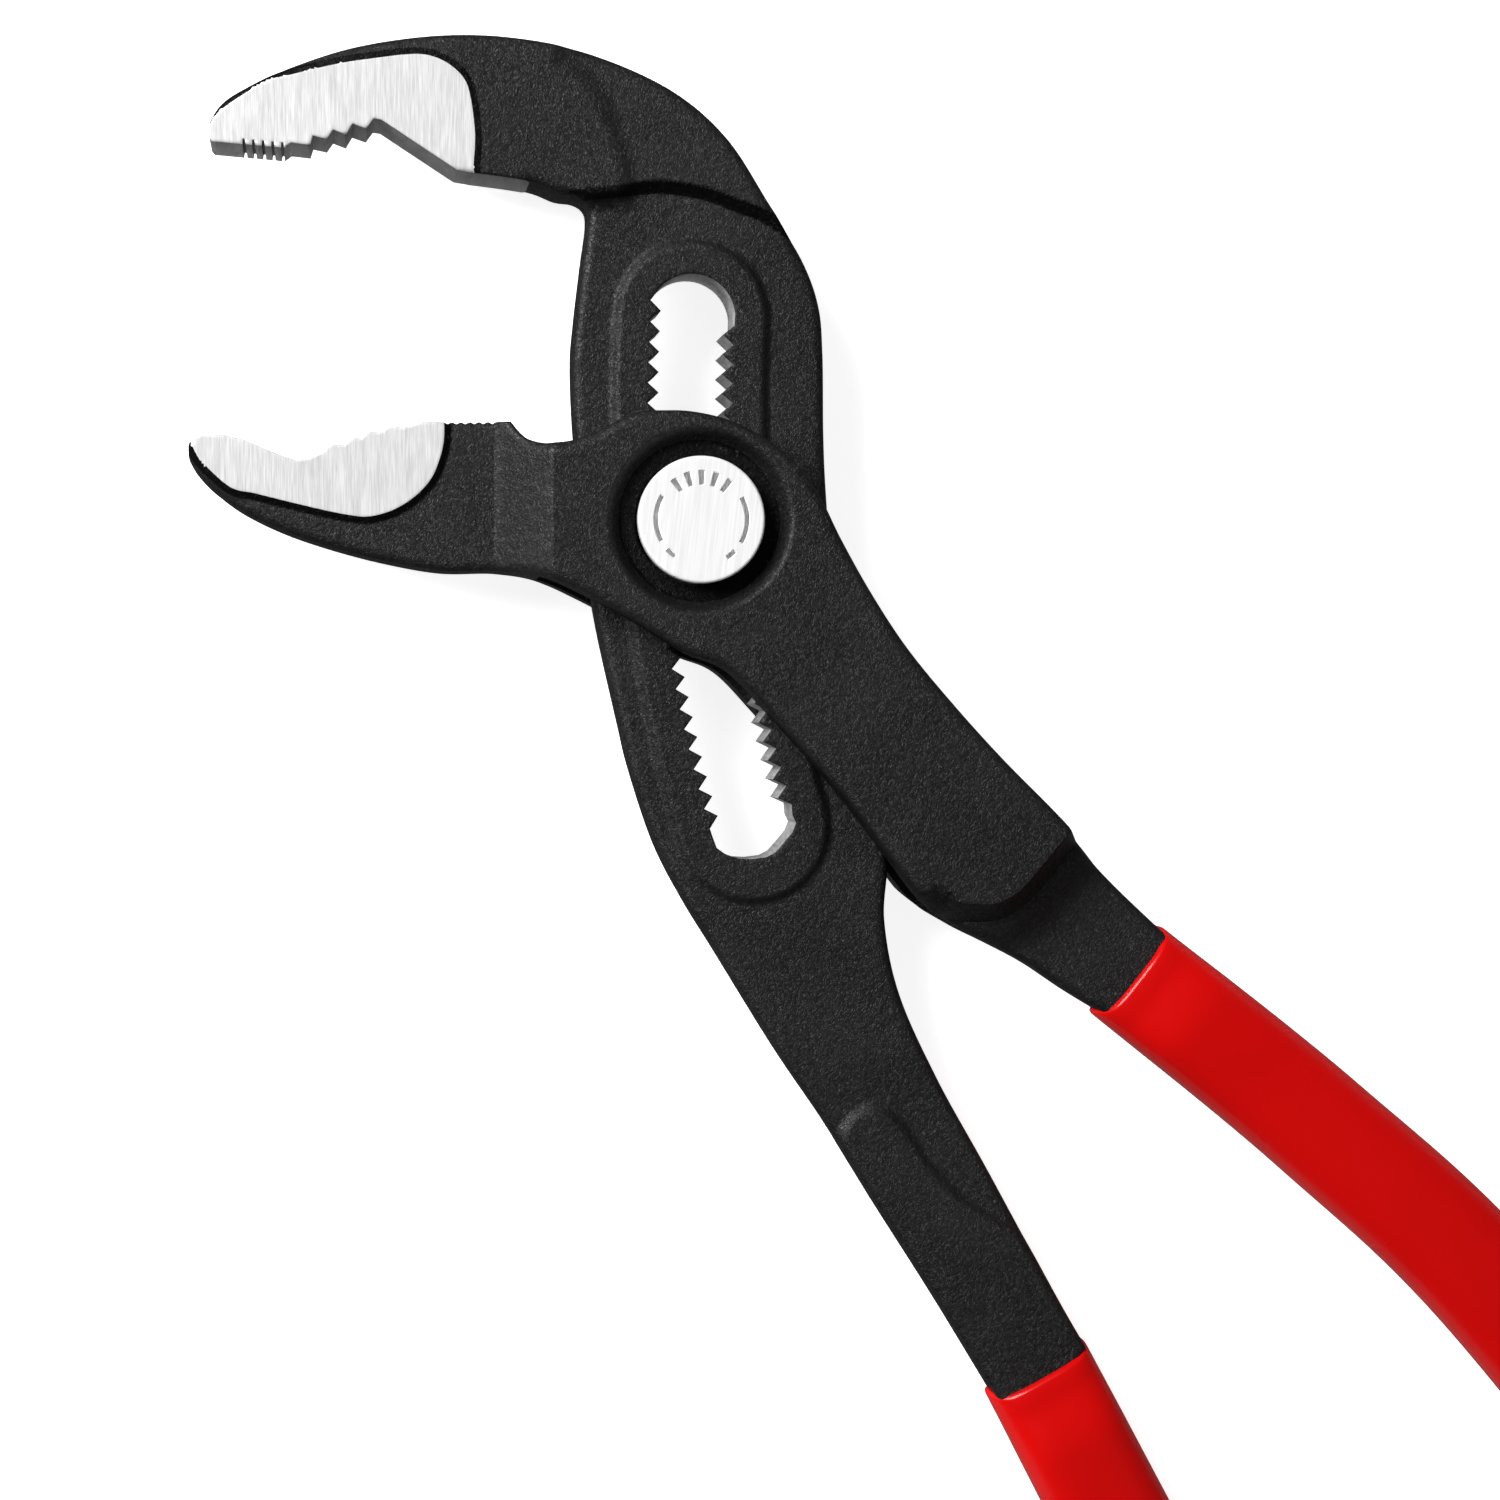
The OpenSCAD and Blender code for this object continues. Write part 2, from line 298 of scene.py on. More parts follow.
@dataclass
class Relief:
    """A forging in relief: one outline with holes, and zones at their own heights on both faces.

    Args:
        loops: the outline, then the holes.
        zones: in the order in which each overrides those before it.
        base: height of both faces over the middle plane.
        grid: spacing of the points on the open faces.
        mid: height of the middle plane.
    """

    loops: list[Loop]
    zones: list[Zone]
    base: float
    grid: float = 1.15
    mid: float = MID

    # Closest points of an outline and of a zone's row, room kept from the outline, longest kept edge, in mm
    OUTLINE_GAP = 0.004
    ROW_GAP = 0.1
    ROW_MARGIN = 0.07
    FACE_MARGIN = 0.6
    LONGEST_LINK = 1.5

    def _edges(self, kind: Edge | None = None) -> tuple[np.ndarray, np.ndarray]:
        """Starts and ends of the outline's segments, of one kind or of all."""
        a = np.vstack([l.points for l in self.loops])
        b = np.vstack([np.roll(l.points, -1, axis=0) for l in self.loops])
        pick = np.array([kind is None or k is kind for l in self.loops for k in l.kinds])
        return a[pick], b[pick]

    def _near(self, p: np.ndarray) -> dict[Edge, np.ndarray]:
        """Distance from each point to each kind of edge that the outline has."""
        return {k: distance(p, *self._edges(k)) for k in Edge if len(self._edges(k)[0])}

    def height(self, p: np.ndarray, near: dict[Edge, np.ndarray], side: Side) -> np.ndarray:
        """Height of one face over the middle plane.

        Args:
            p: the points.
            near: their distances from the kinds of edge.
            side: which face.

        Returns:
            One height for each point, in mm.
        """
        level = np.full(len(p), self.base)
        keep = np.ones(len(p))
        for zone in self.zones:
            if zone.side in (None, side):
                t = zone.share(p)
                level += (zone.level - level) * t
                if zone.ground:
                    keep = keep * (1 - t)
        drop = np.zeros(len(p))
        for kind, away in near.items():
            d = kind.radius - np.minimum(away, kind.radius)
            fall = kind.radius - np.sqrt(np.maximum(kind.radius**2 - d * d, 0))
            drop = np.maximum(drop, fall * keep if kind is Edge.FORGED else fall)
        return level - drop

    def _add_outlines(self, sieve: Sieve) -> list[tuple[int, int]]:
        """Adds the outlines' own points and returns the edges between them."""
        links: list[tuple[int, int]] = []
        for loop in self.loops:
            ids = [sieve.add(p, self.OUTLINE_GAP) for p in loop.points]
            ids = [i for i in ids if i is not None]
            links += list(zip(ids, ids[1:] + ids[:1]))
        return links

    def _add_zones(self, sieve: Sieve) -> list[tuple[int, int]]:
        """Adds rows along the zones' borders and slopes and returns the edges that stay crisp."""
        links: list[tuple[int, int]] = []
        outlines = [l.points for l in self.loops]
        for zone in self.zones:
            for number, row in enumerate(zone.rows()):
                ok = inside(row, outlines) & (distance(row, *self._edges()) > self.ROW_MARGIN)
                reach = distance(row, zone.border, np.roll(zone.border, -1, axis=0))
                want = float(np.median(reach))
                ok &= abs(reach - want) <= 0.12 * want + 0.02
                ids = [sieve.add(p, self.ROW_GAP) if good else None for p, good in zip(row, ok)]
                if number == 0 or (number in (2, 5) and not zone.soft):
                    for i, j, p, q in zip(ids, ids[1:] + ids[:1], row, np.roll(row, -1, axis=0)):
                        if i is not None and j is not None and np.linalg.norm(p - q) < self.LONGEST_LINK:
                            links.append((i, j))
        return links

    def _add_roundings(self, sieve: Sieve) -> None:
        """Adds rows across the rounded edges, and one row beyond them."""
        outlines = [l.points for l in self.loops]
        a, b = self._edges()
        for number, loop in enumerate(self.loops):
            normal = loop.inward(number > 0)
            radius = np.array([k.radius for k in loop.kinds])
            for s in (0.08, 0.29, 0.62, 1.0):
                off = radius * s
                row = loop.points + normal * off[:, None]
                ok = inside(row, outlines) & (distance(row, a, b) > 0.85 * off)
                ok &= (radius > 0.35) | (s in (0.29, 1.0))
                for p, good, o in zip(row, ok, off):
                    if good:
                        sieve.add(p, min(0.05, 0.6 * o + 0.002))
            beyond = radius + 0.3
            row = loop.points + normal * beyond[:, None]
            ok = inside(row, outlines) & (distance(row, a, b) > 0.85 * beyond)
            for p, good in zip(row, ok):
                if good:
                    sieve.add(p, 0.2)

    def _add_faces(self, sieve: Sieve) -> None:
        """Adds a lattice of triangles over the open faces."""
        low, high = self.loops[0].points.min(0), self.loops[0].points.max(0)
        rows = np.arange(low[1], high[1], self.grid * 0.87)
        columns = np.arange(low[0], high[0], self.grid)
        lattice = np.array([(x + (j % 2) * self.grid / 2, y) for j, y in enumerate(rows) for x in columns])
        lattice = lattice[inside(lattice, [l.points for l in self.loops])]
        for p in lattice[distance(lattice, *self._edges()) > self.FACE_MARGIN]:
            sieve.add(p, 0.55 * self.grid)

    def _points(self) -> tuple[list[tuple[float, float]], list[tuple[int, int]]]:
        """The points of the faces' mesh and the edges that it has to keep."""
        sieve = Sieve()
        links = self._add_outlines(sieve) + self._add_zones(sieve)
        self._add_roundings(sieve)
        self._add_faces(sieve)
        return sieve.points, links

    def build(self, name: str) -> bpy.types.Object:
        """Makes the closed mesh.

        Args:
            name: the piece's name.

        Returns:
            The object, with material 0 on the forged skin, 1 on ground faces and 2 on bare walls.
        """
        points, links = self._points()
        verts, _, tris, *_ = delaunay_2d_cdt([Vector(p) for p in points], links, [], 0, 1e-5)
        p = np.array([tuple(v) for v in verts])
        tri = np.array([t for t in tris if len(t) == 3])
        tri = tri[inside(p[tri].mean(1), [l.points for l in self.loops])]
        middle = p[tri].mean(1)
        used = np.unique(tri)
        renumber = np.full(len(p), -1)
        renumber[used] = np.arange(len(used))
        p, tri = p[used], renumber[tri]
        twice = (p[tri[:, 1]] - p[tri[:, 0]], p[tri[:, 2]] - p[tri[:, 0]])
        wrong = twice[0][:, 0] * twice[1][:, 1] - twice[0][:, 1] * twice[1][:, 0] < 0
        tri[wrong] = tri[wrong][:, ::-1]
        near = self._near(p)
        n = len(p)
        top = np.column_stack([p, self.mid + self.height(p, near, Side.FRONT)])
        bottom = np.column_stack([p, self.mid - self.height(p, near, Side.BACK)])
        once: dict[tuple[int, int], tuple[int, int]] = {}
        for a, b, c in tri.tolist():
            for e in ((a, b), (b, c), (c, a)):
                if once.pop((e[1], e[0]), None) is None:
                    once[e] = e
        rim = np.array(list(once.values()))
        ends = self._near((p[rim[:, 0]] + p[rim[:, 1]]) / 2)
        kinds = list(ends)
        wall = np.argmin(np.column_stack([ends[k] for k in kinds]), axis=1)
        skin = np.zeros(len(tri), int)
        for zone in self.zones:
            t = zone.share(middle) if zone.finish or zone.shade_brink else np.zeros(len(tri))
            # painted shade: the slope's faces take a darker material where the step would shade itself
            if zone.shade_brink:
                skin[(t > 0.04) & (t <= 0.9)] = zone.shade_brink
            if zone.finish:
                skin[t > 0.9] = zone.finish
        faces = tri.tolist() + (tri[:, ::-1] + n).tolist() + [[a + n, b + n, b, a] for a, b in rim.tolist()]
        finish = skin.tolist() * 2 + [kinds[w].finish for w in wall]
        piece = new_piece(name, np.vstack([top, bottom]), faces)
        piece.data.polygons.foreach_set("material_index", finish)
        piece.data.update()
        return piece


# ---- mesh helpers ---------------------------------------------------------
def new_piece(name: str, verts: np.ndarray, faces: list[list[int]]) -> bpy.types.Object:
    """An object in the scene with a mesh of that name, from points in mm."""
    mesh = bpy.data.meshes.new(name)
    mesh.from_pydata((verts * MM).tolist(), [], faces)
    piece = bpy.data.objects.new(name, mesh)
    bpy.context.scene.collection.objects.link(piece)
    return piece


def dress(piece: bpy.types.Object, finishes: Sequence[bpy.types.Material], angle: float = 46.0) -> None:
    """Gives the piece its materials, in the order of its face indices, and smooth shading.

    Args:
        piece: the object.
        finishes: its materials.
        angle: edges sharper than this, in degrees, stay sharp.
    """
    index = [f.material_index for f in piece.data.polygons]
    piece.data.materials.clear()
    for material in finishes:
        piece.data.materials.append(material)
    piece.data.polygons.foreach_set("material_index", [min(i, len(finishes) - 1) for i in index])
    piece.data.polygons.foreach_set("use_smooth", [True] * len(piece.data.polygons))
    piece.data.set_sharp_from_angle(angle=math.radians(angle))


def prism(name: str, border: np.ndarray, low: float, high: float) -> bpy.types.Object:
    """A cutting block with that border, from height low to height high, in mm."""
    if area_of(border) < 0:
        border = border[::-1]
    n = len(border)
    verts = np.array([(x, y, z) for z in (low, high) for x, y in border])
    faces = [list(range(n))[::-1], list(range(n, 2 * n))]
    faces += [[i, (i + 1) % n, n + (i + 1) % n, n + i] for i in range(n)]
    return new_piece(name, verts, faces)


def cut(piece: bpy.types.Object, blocks: Sequence[bpy.types.Object]) -> None:
    """Takes the blocks out of the piece and removes them."""
    for block in blocks:
        step = piece.modifiers.new(block.name, "BOOLEAN")
        step.operation, step.solver, step.object = "DIFFERENCE", "MANIFOLD", block
    graph = bpy.context.evaluated_depsgraph_get()
    done = bpy.data.meshes.new_from_object(piece.evaluated_get(graph))
    old, piece.data = piece.data, done
    piece.modifiers.clear()
    done.name = piece.name
    bpy.data.meshes.remove(old)
    for block in blocks:
        bpy.data.objects.remove(block)


def rings_mesh(name: str, rings: Sequence[np.ndarray]) -> bpy.types.Object:
    """A closed skin over rings of points.

    Args:
        name: the piece's name.
        rings: rows of equally many points in mm, the first and last closed by a fan.

    Returns:
        The object.
    """
    count = len(rings[0])
    verts = np.vstack([*rings, rings[0].mean(0), rings[-1].mean(0)])
    faces: list[list[int]] = []
    for i in range(len(rings) - 1):
        for k in range(count):
            j = (k + 1) % count
            faces.append([i * count + k, i * count + j, (i + 1) * count + j, (i + 1) * count + k])
    first, last = len(rings) * count, len(rings) * count + 1
    for k in range(count):
        j = (k + 1) % count
        faces.append([first, j, k])
        faces.append([last, (len(rings) - 1) * count + k, (len(rings) - 1) * count + j])
    piece = new_piece(name, verts, faces)
    shape = bmesh.new()
    shape.from_mesh(piece.data)
    bmesh.ops.recalc_face_normals(shape, faces=shape.faces)
    shape.to_mesh(piece.data)
    shape.free()
    return piece


# ---- node groups ----------------------------------------------------------
class Bench:
    """Adds and links nodes in one node tree."""

    def __init__(self, tree: bpy.types.NodeTree) -> None:
        """Works on that tree."""
        self.tree = tree

    def node(self, kind: str, inputs: dict[str | int, object] | None = None,
             **settings: object) -> bpy.types.Node:
        """Adds a node.

        Args:
            kind: the node type, without its ShaderNode prefix.
            inputs: values or sockets for its inputs, by name or number.
            settings: its other properties.

        Returns:
            The node.
        """
        new = self.tree.nodes.new("ShaderNode" + kind)
        for key, value in settings.items():
            setattr(new, key, value)
        for key, value in (inputs or {}).items():
            if isinstance(value, Socket):
                self.tree.links.new(value, new.inputs[key])
            else:
                new.inputs[key].default_value = value
        return new

    def range(self, value: Socket, low: float, high: float, to_low: float = 0.0,
              to_high: float = 1.0) -> Socket:
        """Maps value from low..high to to_low..to_high, softly."""
        inputs = {0: value, 1: low, 2: high, 3: to_low, 4: to_high}
        return self.node("MapRange", inputs, interpolation_type="SMOOTHSTEP").outputs[0]

    def noise(self, place: Socket, scale: Socket, **inputs: object) -> Socket:
        """Noise at that place and scale, with values or sockets for the node's other inputs."""
        return self.node("TexNoise", {"Vector": place, "Scale": scale, **inputs}).outputs[0]

    def math(self, kind: str, a: object, b: object) -> Socket:
        """The result of one operation on a and b."""
        return self.node("Math", {0: a, 1: b}, operation=kind).outputs[0]

    def mix(self, factor: Socket, a: object, b: object) -> Socket:
        """The colour between a and b."""
        return self.node("Mix", {0: factor, 6: a, 7: b}, data_type="RGBA").outputs[2]


def new_group(name: str, inputs: dict[str, float],
              outputs: Sequence[str]) -> tuple[Bench, bpy.types.Node, bpy.types.Node]:
    """Starts a shader node group.

    Args:
        name: the group's name.
        inputs: its inputs and their defaults.
        outputs: the names of its outputs.

    Returns:
        A bench on the group, its input node and its output node.
    """
    tree = bpy.data.node_groups.new(name, "ShaderNodeTree")
    for key, value in inputs.items():
        socket = tree.interface.new_socket(name=key, in_out="INPUT", socket_type="NodeSocketFloat")
        socket.default_value = value
    for key in outputs:
        tree.interface.new_socket(name=key, in_out="OUTPUT", socket_type="NodeSocketFloat")
    return Bench(tree), tree.nodes.new("NodeGroupInput"), tree.nodes.new("NodeGroupOutput")


def forge_grain() -> bpy.types.NodeTree:
    """Worm-like grain of a coated forging, with sparse specks for painted glints and broad cloudy patches."""
    inputs = {"Scale": 2300.0, "Wander": 1.2}
    bench, ins, outs = new_group("forge_grain", inputs, ("Height", "Grain", "Specks", "Clouds"))
    place = bench.node("TexCoord").outputs["Object"]
    scale = ins.outputs["Scale"]
    fine = bench.noise(place, scale, Detail=1.5, Roughness=0.55, Distortion=ins.outputs["Wander"])
    ridge = bench.math("ABSOLUTE", bench.math("SUBTRACT", fine, 0.5), 0.0)
    grain = bench.range(ridge, 0.0, 0.16, 1.0, 0.0)
    wide = bench.noise(place, bench.math("MULTIPLY", scale, 0.42), Detail=2.0)
    # painted glints: sparse bright specks standing for small highlights on the grain's rims
    glint = bench.noise(place, bench.math("MULTIPLY", scale, 1.25), Detail=0.0)
    cloud = bench.noise(place, bench.math("MULTIPLY", scale, 0.045), Detail=3.0)
    height = bench.math("ADD", bench.math("MULTIPLY", grain, 0.6), bench.math("MULTIPLY", wide, 1.4))
    links = bench.tree.links
    links.new(height, outs.inputs["Height"])
    links.new(grain, outs.inputs["Grain"])
    links.new(bench.range(glint, 0.79, 0.86), outs.inputs["Specks"])
    links.new(bench.range(cloud, 0.35, 0.65), outs.inputs["Clouds"])
    return bench.tree


def brush_lines() -> bpy.types.NodeTree:
    """Straight grinding lines, with their fineness across, their stretch along and their turn about Z."""
    inputs = {"Fineness": 5200.0, "Stretch": 40.0, "Turn": 0.0}
    bench, ins, outs = new_group("brush_lines", inputs, ("Height", "Lines", "Bands"))
    place = bench.node("TexCoord").outputs["Object"]
    about = {"Vector": place, "Angle": ins.outputs["Turn"]}
    turned = bench.node("VectorRotate", about, rotation_type="Z_AXIS").outputs[0]
    parts = bench.node("SeparateXYZ", {0: turned}).outputs
    longways, upright = (bench.math("DIVIDE", parts[axis], ins.outputs["Stretch"]) for axis in (1, 2))
    flat = bench.node("CombineXYZ", {0: parts[0], 1: longways, 2: upright}).outputs[0]
    fine = bench.noise(flat, ins.outputs["Fineness"], Detail=2.0, Roughness=0.7)
    wide = bench.noise(flat, bench.math("MULTIPLY", ins.outputs["Fineness"], 0.13), Detail=1.0)
    links = bench.tree.links
    links.new(fine, outs.inputs["Height"])
    links.new(bench.range(fine, 0.3, 0.7), outs.inputs["Lines"])
    links.new(bench.range(wide, 0.3, 0.7), outs.inputs["Bands"])
    return bench.tree


@dataclass
class Groups:
    """The node groups that the finishes share, each built once."""

    grain: bpy.types.NodeTree = field(default_factory=forge_grain)
    brush: bpy.types.NodeTree = field(default_factory=brush_lines)


def new_material(name: str, **constants: object) -> tuple[Bench, bpy.types.Node]:
    """A material with a Principled shader.

    Args:
        name: the material's name.
        constants: values for the shader's own sockets, with _ for a space.

    Returns:
        A bench on its tree, and the shader.
    """
    material = bpy.data.materials.new(name)
    material.use_nodes = True
    tree = material.node_tree
    shader = tree.nodes["Principled BSDF"]
    for key, value in constants.items():
        shader.inputs[key.replace("_", " ")].default_value = value
    return Bench(tree), shader


# ---- finishes -------------------------------------------------------------
def grey(tone: float) -> Colour:
    """A plain grey."""
    return (tone, tone, tone)


@dataclass(frozen=True)
class ForgedBlack:
    """Satin black coat over a forging, with painted highlights on its grain's ridges and painted glints on
    its specks.
    """

    dark: Colour = (0.0015, 0.0015, 0.0016)
    light: Colour = (0.013, 0.013, 0.0134)
    # colour of the painted glints
    glint: Colour = (0.05, 0.05, 0.051)
    gloss: float = 0.3
    scale: float = 2150.0
    depth: float = 0.0001

    def make(self, name: str, groups: Groups) -> bpy.types.Material:
        """Builds the material."""
        bench, shader = new_material(name, Specular_IOR_Level=self.gloss)
        grain = bench.node("Group", node_tree=groups.grain)
        grain.inputs["Scale"].default_value = self.scale
        out = grain.outputs
        # the grain's ridges lighter: partly the grain's own tone, partly a painted highlight on the ridges
        clouds, grain_highlight = bench.math("MULTIPLY", out["Clouds"], 0.3), bench.math("MULTIPLY", out["Grain"], 0.7)
        shift = bench.math("ADD", clouds, grain_highlight)
        base = bench.mix(shift, (*self.dark, 1), (*self.light, 1))
        links = bench.tree.links
        links.new(bench.mix(out["Specks"], base, (*self.glint, 1)), shader.inputs["Base Color"])
        links.new(bench.range(out["Grain"], 0.0, 1.0, 0.52, 0.38), shader.inputs["Roughness"])
        bump = bench.node("Bump", {"Strength": 0.7, "Distance": self.depth, "Height": out["Height"]})
        links.new(bump.outputs[0], shader.inputs["Normal"])
        return bpy.data.materials[name]


@dataclass(frozen=True)
class BrushedSteel:
    """Bare steel with straight grinding lines."""

    dark: Colour = (0.62, 0.62, 0.62)
    light: Colour = (0.83, 0.83, 0.835)
    metallic: float = 0.3
    roughness: tuple[float, float] = (0.3, 0.45)
    fineness: float = 13000.0
    stretch: float = 40.0
    turn: float = 0.0
    gloss: float = 0.5
    depth: float = 0.000012

    def make(self, name: str, groups: Groups) -> bpy.types.Material:
        """Builds the material."""
        bench, shader = new_material(name, Metallic=self.metallic, Specular_IOR_Level=self.gloss)
        brush = bench.node("Group", node_tree=groups.brush)
        for key, value in (("Fineness", self.fineness), ("Stretch", self.stretch), ("Turn", self.turn)):
            brush.inputs[key].default_value = value
        out = brush.outputs
        lines, bands = bench.math("MULTIPLY", out["Lines"], 0.75), bench.math("MULTIPLY", out["Bands"], 0.25)
        shift = bench.math("ADD", lines, bands)
        links = bench.tree.links
        links.new(bench.mix(shift, (*self.dark, 1), (*self.light, 1)), shader.inputs["Base Color"])
        links.new(bench.range(out["Lines"], 0.0, 1.0, *self.roughness), shader.inputs["Roughness"])
        bump = bench.node("Bump", {"Strength": 0.5, "Distance": self.depth, "Height": out["Height"]})
        links.new(bump.outputs[0], shader.inputs["Normal"])
        return bpy.data.materials[name]


@dataclass(frozen=True)
class DippedVinyl:
    """Glossy red vinyl, faintly uneven from the dipping."""

    deep: Colour = (0.52, 0.0012, 0.001)
    bright: Colour = (0.57, 0.0015, 0.0012)

    def make(self, name: str, groups: Groups) -> bpy.types.Material:
        """Builds the material."""
        bench, shader = new_material(name, Coat_Roughness=0.1, Coat_Weight=0.2, Specular_IOR_Level=0.15)
        grain = bench.node("Group", node_tree=groups.grain)
        grain.inputs["Scale"].default_value = 700.0
        out = grain.outputs
        links = bench.tree.links
        links.new(bench.mix(out["Clouds"], (*self.deep, 1), (*self.bright, 1)), shader.inputs["Base Color"])
        links.new(bench.range(out["Clouds"], 0.0, 1.0, 0.24, 0.28), shader.inputs["Roughness"])
        bump = bench.node("Bump", {"Strength": 0.15, "Distance": 0.00003, "Height": out["Clouds"]})
        links.new(bump.outputs[0], shader.inputs["Normal"])
        return bpy.data.materials[name]


@dataclass
class Finishes:
    """Every material of the pliers."""

    groups: Groups = field(default_factory=Groups)

    def __post_init__(self) -> None:
        """Builds the materials."""
        g = self.groups
        self.forging = ForgedBlack().make("forged_black", g)
        self.ground = BrushedSteel().make("ground_steel", g)
        # painted shade: a darker, duller copy of the forged coat, for the button recess and the slopes of
        # steps where shade falls
        self.recess = ForgedBlack(dark=grey(0.001), light=grey(0.002), gloss=0.12).make("recess_black", g)
        self.flank = ForgedBlack(gloss=0.08).make("forged_flank", g)
        bare = {"metallic": 0.0, "roughness": (0.5, 0.7), "fineness": 6000, "stretch": 16}
        self.wall = BrushedSteel(dark=grey(0.1), light=grey(0.17), gloss=0.06, **bare).make("bare_wall", g)
        self.rack = BrushedSteel(dark=grey(0.18), light=grey(0.34), gloss=0.1, **bare).make("slot_wall", g)
        button = BrushedSteel(dark=grey(0.86), light=grey(0.96), metallic=0.2, fineness=4200, turn=0.12)
        self.button = button.make("button_steel", g)
        turned = BrushedSteel(dark=grey(0.4), light=grey(0.7), metallic=0.8, stretch=10)
        self.turned = turned.make("turned_steel", g)
        spring = BrushedSteel(dark=(0.25, 0.25, 0.26), light=(0.45, 0.45, 0.46), metallic=0.9, stretch=6)
        self.spring = spring.make("spring_steel", g)
        self.vinyl = DippedVinyl().make("dipped_vinyl", g)


# ---- the slot's shape -----------------------------------------------------
@dataclass
class SlotShape:
    """The curved slot with its two racks, and the raised land around it."""

    radius: float = 163.5
    bearing: float = 4.9
    pitch: float = 0.775
    groove: float = 4.75
    tip: float = 3.5
    top: float = -10.3
    end: float = 15.5
    land: float = 7.8

    # The slot's lower end: grooves past the fifteenth, and mm out from the centre line
    FOOT: Line = ((0.4, 4.72), (1.0, 4.64), (1.4, 3.95), (1.8, 2.8), (2.05, 1.4), (2.2, -0.3), (2.12, -1.4),
                  (1.8, -2.6), (1.4, -3.95), (1.0, -4.64), (0.55, -4.5))

    def at(self, groove: float, out: float) -> np.ndarray:
        """The point groove steps along the slot and out from its centre line."""
        bearing = math.radians(self.bearing)
        centre = self.radius * np.array([math.cos(bearing), math.sin(bearing)])
        turn = math.radians(180 + self.bearing + groove * self.pitch)
        return centre + (self.radius + out) * np.array([math.cos(turn), math.sin(turn)])

    def half(self, groove: float) -> float:
        """Half width of the slot: a straight-sided tooth between every two grooves."""
        return self.groove - (self.groove - self.tip) * (1 - 2 * abs(abs(groove) % 1 - 0.5))

    def cap(self, groove: float, half: float, start: float) -> np.ndarray:
        """The half circle that closes a band of the slot's shape."""
        turn = 180 + self.bearing + groove * self.pitch
        turns = np.radians(turn + np.arange(start + 8, start + 173, 8))
        return self.at(groove, 0) + half * np.column_stack([np.cos(turns), np.sin(turns)])

    def rack(self, first: int, last: int, out: int) -> list[np.ndarray]:
        """Points of the rack on one side."""
        return [self.at(i / 2, out * self.half(i / 2)) for i in range(2 * first, 2 * last + 1)]

    def opening(self) -> Loop:
        """The slot itself, as a hole."""
        top = self.cap(self.top, self.groove + 0.05, 180)[:-2]
        foot = [self.at(15 + g, w) for g, w in self.FOOT]
        points = [*self.rack(-11, 15, 1), *foot, *self.rack(-10, 15, -1)[::-1], *top]
        return Loop.of([(straight([*points, points[0]], 0.5), Edge.SLOT)])

    def band(self, half: float) -> np.ndarray:
        """The closed border of a band around the slot, half wide."""
        steps = np.linspace(self.top, self.end, 90)
        return np.vstack([[self.at(g, half) for g in steps], self.cap(self.end, half, 0),
                          [self.at(g, -half) for g in steps[::-1]], self.cap(self.top, half, 180)])


